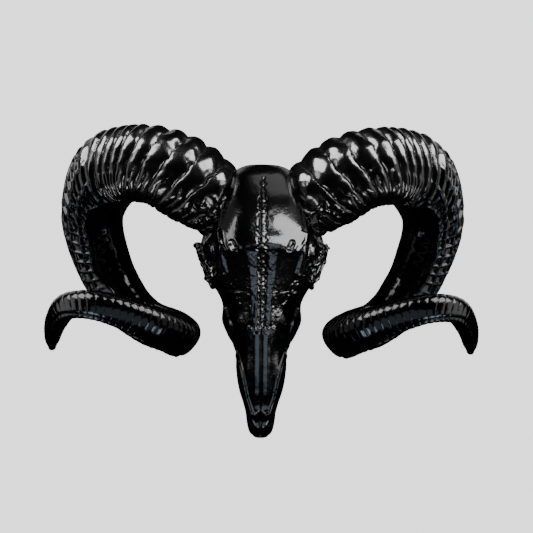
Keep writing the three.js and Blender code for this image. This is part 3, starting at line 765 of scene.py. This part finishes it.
horn_places = np.linspace(0, len(STATIONS) - 1, 6001)
horn_points = horn_line(horn_places)
horn_lengths = np.concatenate([[0], np.cumsum(np.linalg.norm(np.diff(horn_points, axis=0), axis=1))])
horn_total = horn_lengths[-1]
rib_tops = [FIRST_RIB]
while rib_tops[-1] < horn_total:
    rib_tops.append(rib_tops[-1] + np.interp(rib_tops[-1], RIB_AT, RIB_SPACING))
rib_tops = np.concatenate([[FIRST_RIB - RIB_SPACING[0]], rib_tops])


# Lines along the horn, in degrees from the outside of the curl by length: the two rims of the row of pits that runs
# down the outer edge, and the fold where the ribs end and the smooth inner face starts.
LINE_AT = [0.125, 0.143, 0.150, 0.158, 0.168, 0.182, 0.205, 0.240, 0.268, 0.330]
UPPER_RIM = [60, 68, 72, 76, 79, 81, 82, 70, 64, 54]
LOWER_RIM = [92, 94, 95, 97, 100, 102, 102, 94, 92, 80]
FOLD = [154, 140, 128, 121, 115, 116, 117, 112, 120, 104]


def horn_relief(length, turn, keel, points):
    """Height of the horn's ribs and cells above its section, and how dark and dull each point is.

    A rib's profile is a power of the absolute cosine of its count: below 1 for fat ribs with thin grooves, high for
    thin crests with wide hollows. Lines along the horn join the crests into cells. The grooves are painted darker, as
    shade, and made duller, and among the cells it is the worn rims that are darker and duller instead.
    """
    degrees = np.degrees((turn - keel + math.pi) % (2 * math.pi) - math.pi)
    outside = np.degrees(turn)
    facing = np.minimum(outside, 360 - outside)
    leaning = np.interp(length, LEAN_AT, LEAN) * (1 - np.cos(turn)) / 2
    wobble = 0.11 * grain(points, 0.018, 41) + 0.06 * grain(points, 0.006, 42)
    cells = ramp(length, 0.126, 0.152) * (1 - ramp(length, 0.315, 0.345))
    tip = ramp(length, 0.335, 0.365)
    arm = (1 - cells) * (1 - tip)
    count = np.interp(length - leaning, rib_tops, np.arange(len(rib_tops))) + wobble * (1 - 0.5 * tip - 0.3 * cells)
    wave = np.abs(np.cos(math.pi * count))
    # sharp lobes over the top, flat fat ribs on the face, each split in two on the underside of the upper arm
    lobe = 1 - ramp(facing, 20, 55)
    power = (0.34 + 0.7 * lobe) * (1 - cells) + 9 * cells * (1 - tip)
    power = power * (1 - tip) + 0.16 * tip
    # the tip's grooves are shallower along its front
    crest = 1 - (1 - wave ** power) * (1 - 0.60 * tip * ridge(degrees + 22, 20))
    under = arm * ramp(outside, 84, 100) * (1 - ramp(outside, 240, 300))
    split = np.abs(np.sin(math.pi * count + 0.7 * grain(points, 0.009, 51))) ** 0.5
    crest = crest * (1 - 0.45 * under * (1 - split))
    deep = np.interp(length, GROOVE_AT, GROOVE_DEPTH) * (1 + 0.25 * grain(points, 0.012, 52))
    # each rib is knapped into facets that step up and down along it
    step = grain(np.stack([np.round(count) + 0 * turn, outside / 24, 0 * turn + 0.5], -1) * 0.9, 1.0, 53)
    height = -deep * (1 - crest) + 0.0005 * arm * (step - 1) * crest
    height += 0.0004 * arm * (grain(points, 0.008, 55) - 0.5)
    height -= 0.0011 * arm * ridge(outside - 88 - 7 * grain(points, 0.012, 54), 8)
    crumbling = under * (1 - ramp(length + 0.012 * grain(points, 0.02, 48), 0.030, 0.060))
    height += 0.0014 * crumbling * np.clip(grain(points, 0.0075, 49) + 0.35 * grain(points, 0.003, 50), -1, 0.8)
    # open cells below the shoulder
    wander = outside + 5 * grain(points, 0.012, 44)
    upper_rim, lower_rim, fold = (np.interp(length, LINE_AT, line) for line in (UPPER_RIM, LOWER_RIM, FOLD))
    for line, width in ((upper_rim, 3.6), (lower_rim, 3.6), (upper_rim - 24, 3.2), (upper_rim - 50, 3.2)):
        height = height * (1 - cells * ridge(wander - line, width))
    feather = np.interp(wander - lower_rim, [0, 14, 26], [1, 0.6, 0])
    height = height * (1 - cells * (1 - feather) * (outside < 240))
    smooth = np.maximum(cells, ramp(length, 0.118, 0.134)) * (1 - tip) * ramp(wander - fold, -6, 2) * (
        1 - ramp(outside, 250, 290))
    height = height * (1 - smooth)
    height += cells * (0.0008 * ridge(wander - fold, 3.0) - 0.0005 * ridge(wander - fold - 8, 5))
    dimples = np.sin(math.pi * (length - 0.213) / 0.0122) ** 2
    height -= 0.0004 * smooth * (1 - dimples) * ridge(outside - 149, 17) * ramp(length, 0.19, 0.21)
    height += smooth * 0.0006 * grain(points, 0.015, 45)
    # flat faces of the last bend and the tip, with a thin line along the keel
    flat = ramp(length, 0.34, 0.37)
    height -= np.interp(length, [0.33, 0.38, 0.50, 0.57], [0, 0.0016, 0.0012, 0]) * ridge(degrees, 24)
    height += flat * (0.0006 * ridge(degrees - 2, 3) - 0.0008 * ridge(degrees + 9, 3.5))
    # painted shade: the deeper a groove, the darker and duller; among the cells the worn rims are darker and duller
    # instead
    hollow = np.clip(-height / np.maximum(deep, 0.001), 0, 1) * (1 - 0.5 * tip) * (1 - smooth)
    hollow = np.maximum(hollow * (1 - cells), 0.9 * cells * (1 - hollow) * (1 - smooth))
    height += (0.00011 * grain(points, 0.0045, 46) + 0.00004 * grain(points, 0.0016, 47)) * (1 - 0.2 * tip)
    return height - 0.0005, hollow


def horn_skin(lengths, columns, side):
    """Rings of the horn: on each, the radius is scaled by a nearly round section with raised edges, each of which
    adds its height times exp(sharpness * (cos(turn from edge) - 1)), and the relief is added to it."""
    place = np.interp(lengths, horn_lengths, horn_places)
    centre = horn_line(place)
    ahead = unit(horn_line(np.minimum(place + 0.01, len(STATIONS) - 1)) - horn_line(np.maximum(place - 0.01, 0)))
    outward = centre - CURL_CENTRE
    outward = unit(outward - (outward * ahead).sum(1, keepdims=True) * ahead)
    sideways = np.cross(ahead, outward)
    radius, keel, edge = along_rows(STATIONS[:, 3:], place).T[..., None]
    keel = np.radians(keel)
    turn = np.linspace(0, 2 * math.pi, columns, endpoint=False)[None]
    rise = sum(tall * np.exp(SHARPNESS * (np.cos(turn - keel - math.radians(at)) - 1)) for at, tall in EDGES)
    reach = radius * (1 - edge * (1 - FLAT) + edge * rise)
    direction = outward[:, None] * np.cos(turn)[..., None] + sideways[:, None] * np.sin(turn)[..., None]
    points = centre[:, None] + direction * reach[..., None]
    height, hollow = horn_relief(lengths[:, None] + 0 * turn, turn + 0 * radius, keel, sided(points, side))
    return sided(points + direction * height[..., None], side), hollow


HORN_BLACK = (0.0006, 0.0006, 0.0007)
horn_enamel = enamel("horn_enamel", HORN_BLACK, (0.11, 0.20), 0.10)
for side, word in ((1, "left"), (-1, "right")):
    for name, start, end, columns in LENGTHS:
        rows = int((end - start) * horn_total / ROW_SPACING * fineness)
        lengths = np.linspace(start, end, rows) * horn_total
        if end == 1:
            lengths = lengths[:-1]
        grid, hollow = horn_skin(lengths, int(columns * fineness), side)
        if end == 1:
            # the blunt tip closes in a half ball
            last = grid[-1]
            middle = last.mean(0)
            forward = unit(middle - grid[-4].mean(0)) * np.linalg.norm(last - middle, axis=1).mean()
            turn = np.linspace(0, math.pi / 2, TIP_CAP["rings"])[1:-1, None, None]
            cap = middle + (last - middle) * np.cos(turn) + TIP_CAP["bulge"] * forward * np.sin(turn)
            grid = np.concatenate([grid, cap])
            hollow = np.concatenate([hollow, np.repeat(hollow[-1:], len(cap), 0)])
        surface(f"horn_{name}_casting_{word}", [grid], [hollow], horn_enamel,
                [f"horn_{name}_{word}"])


# ---- studio ----
# A pale floor well below the sculpture, and a room that is pale to the camera and dark to the enamel.
# Gloss black shows little but reflections, so each group of soft lamps lights only the pieces it is meant for.

FLOOR_HEIGHT = -1.6
bpy.ops.mesh.primitive_circle_add(vertices=96, radius=0.9, fill_type="NGON", location=(0, -0.1, FLOOR_HEIGHT))
floor = bpy.context.object
floor.name = "floor"
paper = bpy.data.materials.new("pale_floor")
paper.use_nodes = True
paper.node_tree.nodes["Principled BSDF"].inputs["Base Color"].default_value = (0.78, 0.78, 0.77, 1)
paper.node_tree.nodes["Principled BSDF"].inputs["Roughness"].default_value = 0.9
floor.data.materials.append(paper)
floor.visible_glossy = False   # keeps the floor out of the reflections in the enamel

world = bpy.data.worlds.new("pale_room")
bpy.context.scene.world = world
world.use_nodes = True
room_nodes, room_links = world.node_tree.nodes, world.node_tree.links
room_nodes.clear()
seen = room_nodes.new("ShaderNodeBackground")
seen.inputs["Color"].default_value = (0.93, 0.93, 0.93, 1)
seen.inputs["Strength"].default_value = 2.1
lit = room_nodes.new("ShaderNodeBackground")
lit.inputs["Color"].default_value = (0.006, 0.006, 0.007, 1)
ray = room_nodes.new("ShaderNodeLightPath")
either = room_nodes.new("ShaderNodeMixShader")
out = room_nodes.new("ShaderNodeOutputWorld")
room_links.new(ray.outputs["Is Camera Ray"], either.inputs[0])
room_links.new(lit.outputs[0], either.inputs[1])
room_links.new(seen.outputs[0], either.inputs[2])
room_links.new(either.outputs[0], out.inputs["Surface"])


LOOK = np.array([0, -0.1, 0])
DAYLIGHT, BLUE_SKY = (1, 1, 1), (0.70, 0.83, 1)


def soft_lamp(name, azimuth, elevation, distance, width, height, brightness, colour=DAYLIGHT):
    """A flat rectangular lamp turned towards the face, placed by its azimuth to the right of straight ahead, its
    elevation and its distance; its power is brightness * pi * area."""
    lamp = bpy.data.lights.new(name, "AREA")
    lamp.shape = "RECTANGLE"
    lamp.size, lamp.size_y, lamp.color = width, height, colour
    lamp.energy = brightness * math.pi * width * height
    holder = bpy.data.objects.new(name, lamp)
    bpy.context.scene.collection.objects.link(holder)
    turn, rise = math.radians(azimuth), math.radians(elevation)
    away = np.array([math.sin(turn) * math.cos(rise), -math.cos(turn) * math.cos(rise), math.sin(rise)])
    holder.location = LOOK + distance * away
    holder.rotation_euler = (math.pi / 2 - rise, 0, turn)
    holder.visible_camera = False
    return holder


def windows(brightness):
    """The two large lamps above the camera, one to each side."""
    return [(turn, rise, 1.5, 1.05, 1.05, brightness, DAYLIGHT) for turn, rise in ((-60, 45), (58, 43))]


def low_pair(brightness, colour):
    """The two small lamps below the camera, one to each side."""
    return [(turn, -50, 1.2, 0.40, 0.30, brightness, colour) for turn in (-50, 55)]


def from_behind(elevation, brightness, turns=(145, -145)):
    """Large lamps behind the wall, which show the back."""
    return [(turn, elevation, 1.7, 1.3, 1.3, brightness, DAYLIGHT) for turn in turns]


FRONT_GLOW = (0, -32, 1.3, 1.6, 0.8, 0.45, BLUE_SKY)

# The lamps of each group, by what the names of the lit pieces start and end with. A lamp is its azimuth, elevation,
# distance, width, height, brightness and colour.
LAMPS = {
    ("horn_base", ""): windows(21) + low_pair(12, DAYLIGHT) + [
        (62, 12, 1.5, 0.35, 0.5, 9, DAYLIGHT), (-58, 12, 1.5, 0.35, 0.5, 9, DAYLIGHT),
    ],
    ("horn_crown", ""): windows(4.5) + low_pair(4, BLUE_SKY),
    ("horn_lower", ""): windows(3) + [FRONT_GLOW],
    ("horn_tip", ""): windows(6) + low_pair(4, BLUE_SKY) + [FRONT_GLOW],
    ("horn", "_right"): [(-76, 0, 1.4, 1.0, 1.8, 0.9, DAYLIGHT)] + from_behind(28, 0.8, [-145]),
    ("horn", "_left"): [(76, 0, 1.4, 1.0, 1.8, 0.9, DAYLIGHT)] + from_behind(28, 0.8, [145]),
    ("eye", ""): [(-62, -20, 1.4, 0.6, 0.8, 4, DAYLIGHT), (62, -20, 1.4, 0.6, 0.8, 2, DAYLIGHT)],
    (("cranium", "eye", "cheek", "wall"), ""): [
        (48, -22, 1.6, 2.6, 1.0, 12, DAYLIGHT), (-48, -20, 1.6, 0.30, 1.1, 6, DAYLIGHT),
        (36, 58, 1.8, 1.9, 1.9, 1.25, DAYLIGHT), (4, -50.5, 0.95, 0.30, 0.30, 1.9, BLUE_SKY),
    ],
    ("muzzle", ""): [(-48, -22, 1.6, 0.8, 1.1, 2, DAYLIGHT), (48, -22, 1.6, 0.8, 1.1, 2, DAYLIGHT)],
    (("upper", "nasal", "muzzle"), ""): [
        (48, -22, 1.6, 2.6, 1.0, 2, DAYLIGHT), (-48, -20, 1.6, 0.8, 1.1, 3, DAYLIGHT),
        (4, -53, 0.95, 0.80, 0.26, 1.7, BLUE_SKY),
    ],
    ("wall_pad", ""): from_behind(-4, 1.1),
    (("cranium", "eye", "cheek", "upper", "muzzle"), ""): from_behind(28, 0.6),
    ("floor", ""): [(0, 0, 0, 1.7, 1.7, 3.6, DAYLIGHT)],
}


def pieces_lit(name, chosen):
    """A group of the pieces whose names are chosen, for lamps that light nothing else."""
    group = bpy.data.collections.new(name)
    for piece in bpy.context.scene.objects:
        if piece.type == "MESH" and chosen(piece.name):
            group.objects.link(piece)
    return group


for number, ((start, end), group) in enumerate(LAMPS.items()):
    lit_pieces = pieces_lit(f"lit_pieces_{number}", lambda name: name.startswith(start) and name.endswith(end))
    for i, lamp in enumerate(group):
        holder = soft_lamp(f"lamp_{number}_{i}", *lamp)
        holder.light_linking.receiver_collection = lit_pieces
# the floor's lamp, the last one made, hangs under the sculpture and faces straight down
holder.location, holder.rotation_euler = (0, -0.1, -0.4), (0, 0, 0)
# the wall panels face away from the sculpture and light only the rear of the floor
for side, word in ((1, "right"), (-1, "left")):
    panel = soft_lamp(f"wall_lamp_{word}", 0, 0, 0, 1.2, 1.2, 1.3)
    panel.location = (0.85 * side, 0.03, 0)
    panel.light_linking.receiver_collection = pieces_lit(word + "_receivers", lambda name: not name.endswith("_" + word))
# a dim lamp to each side of the camera lights everything
for side, word in ((1, "right"), (-1, "left")):
    soft_lamp(f"side_{word}", 74 * side, 0, 1.4, 0.9, 1.4, 0.25)
soft_lamp("wall_above", 0, 0, 0, 0.6, 1.0, 1.0).location = (0, 0.03, 0.72)

# The camera looks straight at the wall from 1.6 m, level with the eye sockets.
CAMERA_PLACE = (0.0042, -1.6, -0.045)
CAMERA_ROLL = 0.6   # degrees
SENSOR_WIDTH, LENS = 36, 108.07   # millimetres
camera = bpy.data.cameras.new("camera")
camera.sensor_width, camera.lens = SENSOR_WIDTH, LENS
viewer = bpy.data.objects.new("camera", camera)
bpy.context.scene.collection.objects.link(viewer)
viewer.location = CAMERA_PLACE
viewer.rotation_euler = (math.pi / 2, math.radians(-CAMERA_ROLL), 0)
bpy.context.scene.camera = viewer
